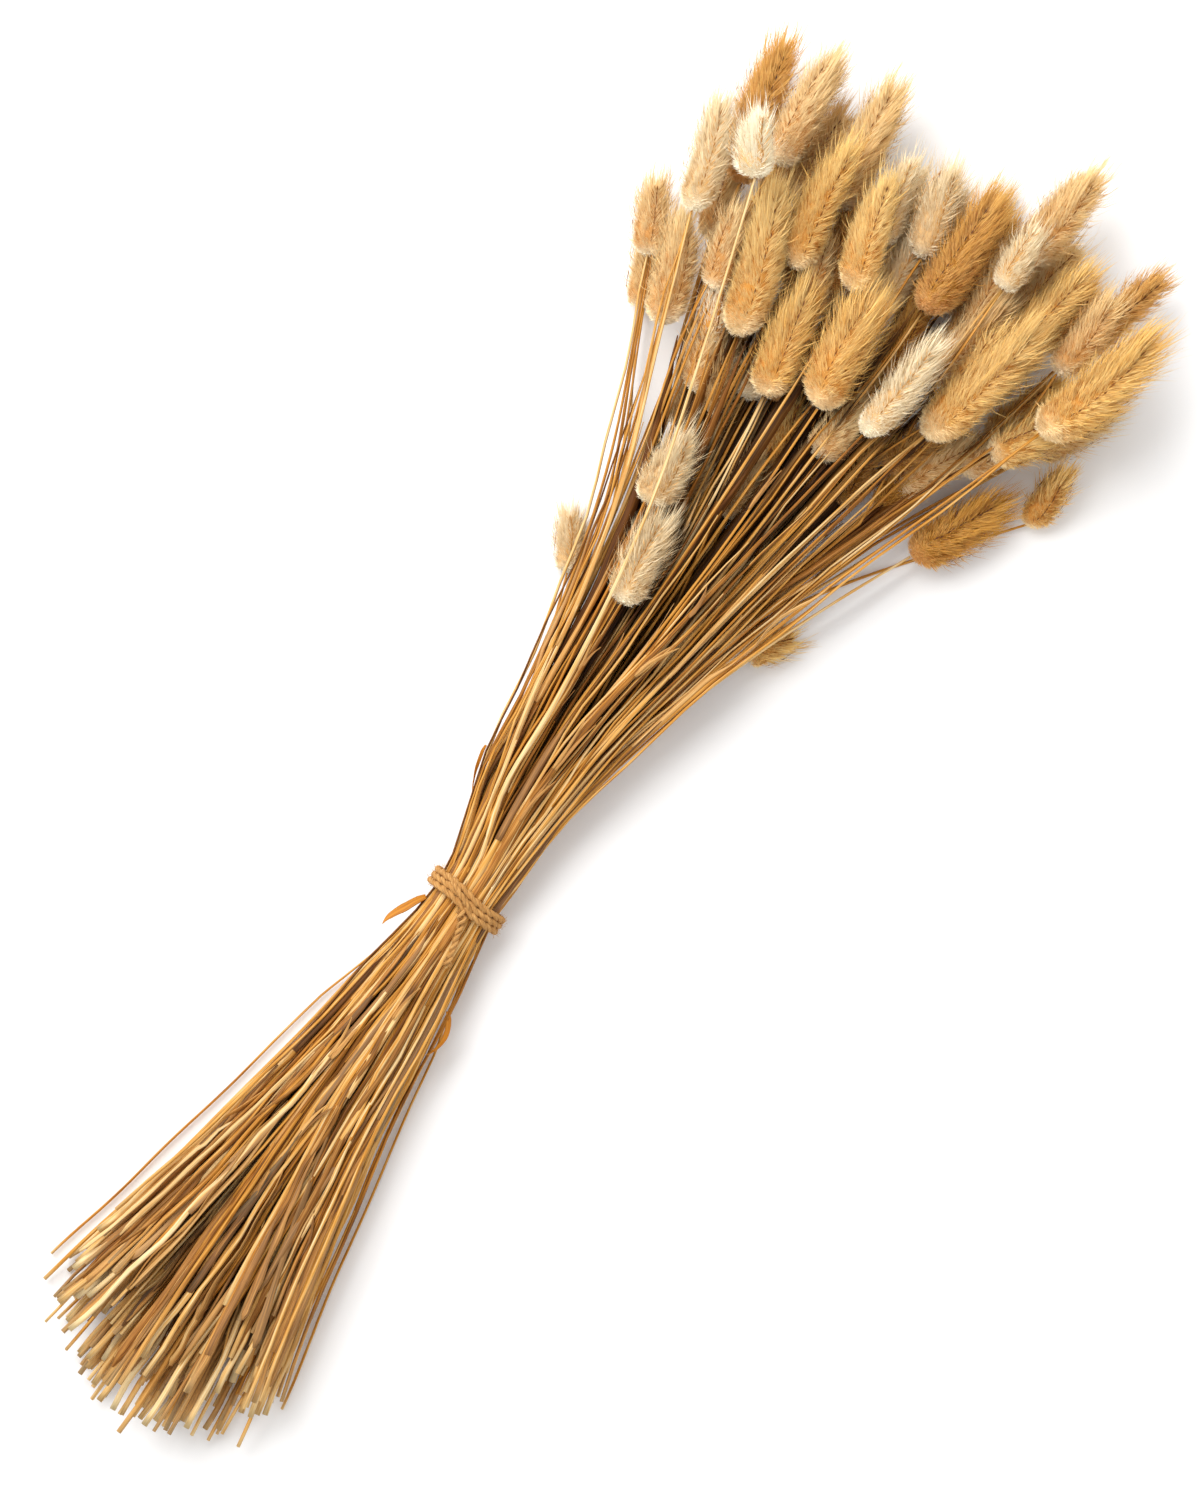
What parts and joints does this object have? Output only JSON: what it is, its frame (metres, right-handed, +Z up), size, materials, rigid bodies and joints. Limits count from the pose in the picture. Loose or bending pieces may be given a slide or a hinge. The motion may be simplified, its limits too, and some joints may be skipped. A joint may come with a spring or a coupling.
{
  "type": "dried grass bundle",
  "caption": "Tied bundle of dried bunny tail grass lying down: fluffy oval heads fan out at one end, straws pass a jute twine tie, cut ends spread at the other.",
  "frame": {"origin": "on the table below the middle of the bundle's box", "axes": "+Y along the bundle from the cut ends to the heads, +X to the right seen from above with the heads away, +Z up"},
  "size_m": [0.1848, 0.5522, 0.0771],
  "materials": {
    "grass_cream": "dried grass: soft cream hairs on the head, smooth golden straw below it, matt",
    "grass_tan": "dried grass: soft tan hairs on the head, smooth golden straw below it, matt",
    "grass_gold": "dried grass: soft gold hairs on the head, smooth golden straw below it, matt",
    "grass_amber": "dried grass: soft amber hairs on the head, smooth golden straw below it, matt",
    "grass_grey": "dried grass: soft grey hairs on the head, smooth golden straw below it, matt",
    "jute_twine": "two-ply jute, fuzzy, matt",
    "dry_leaf": "thin dry grass leaf, satin"
  },
  "bodies": {
    "root": {"stalk_01": "grass_amber", "stalk_02": "grass_tan", "stalk_03": "grass_cream", "stalk_04": "grass_cream", "stalk_05": "grass_tan", "stalk_06": "grass_tan", "stalk_07": "grass_tan", "stalk_08": "grass_tan", "stalk_09": "grass_grey", "stalk_10": "grass_tan", "stalk_11": "grass_gold", "stalk_12": "grass_tan", "stalk_13": "grass_gold", "stalk_14": "grass_cream", "stalk_15": "grass_cream", "stalk_16": "grass_tan", "stalk_17": "grass_amber", "stalk_18": "grass_gold", "stalk_19": "grass_cream", "stalk_20": "grass_grey", "stalk_21": "grass_tan", "stalk_22": "grass_tan", "stalk_23": "grass_gold", "stalk_24": "grass_gold", "stalk_25": "grass_tan", "stalk_26": "grass_cream", "stalk_27": "grass_amber", "stalk_28": "grass_gold", "stalk_29": "grass_gold", "stalk_30": "grass_amber", "stalk_31": "grass_gold", "stalk_32": "grass_tan", "stalk_33": "grass_tan", "stalk_34": "grass_gold", "stalk_35": "grass_gold", "stalk_36": "grass_gold", "stalk_37": "grass_cream", "stalk_38": "grass_gold", "stalk_39": "grass_gold", "stalk_40": "grass_tan", "stalk_41": "grass_grey", "stalk_42": "grass_grey", "stalk_43": "grass_grey", "stalk_44": "grass_cream", "stalk_45": "grass_cream", "stalk_46": "grass_cream", "stalk_47": "grass_gold", "stalk_48": "grass_grey", "stalk_49": "grass_grey", "stalk_50": "grass_gold", "stalk_51": "grass_tan", "stalk_52": "grass_tan", "stalk_53": "grass_grey", "stalk_54": "grass_grey", "stalk_55": "grass_grey", "twine_tie": "jute_twine", "leaf_strip_left": "dry_leaf", "leaf_sheath_left": "dry_leaf", "leaf_curl_right": "dry_leaf"}
  },
  "joints": []
}
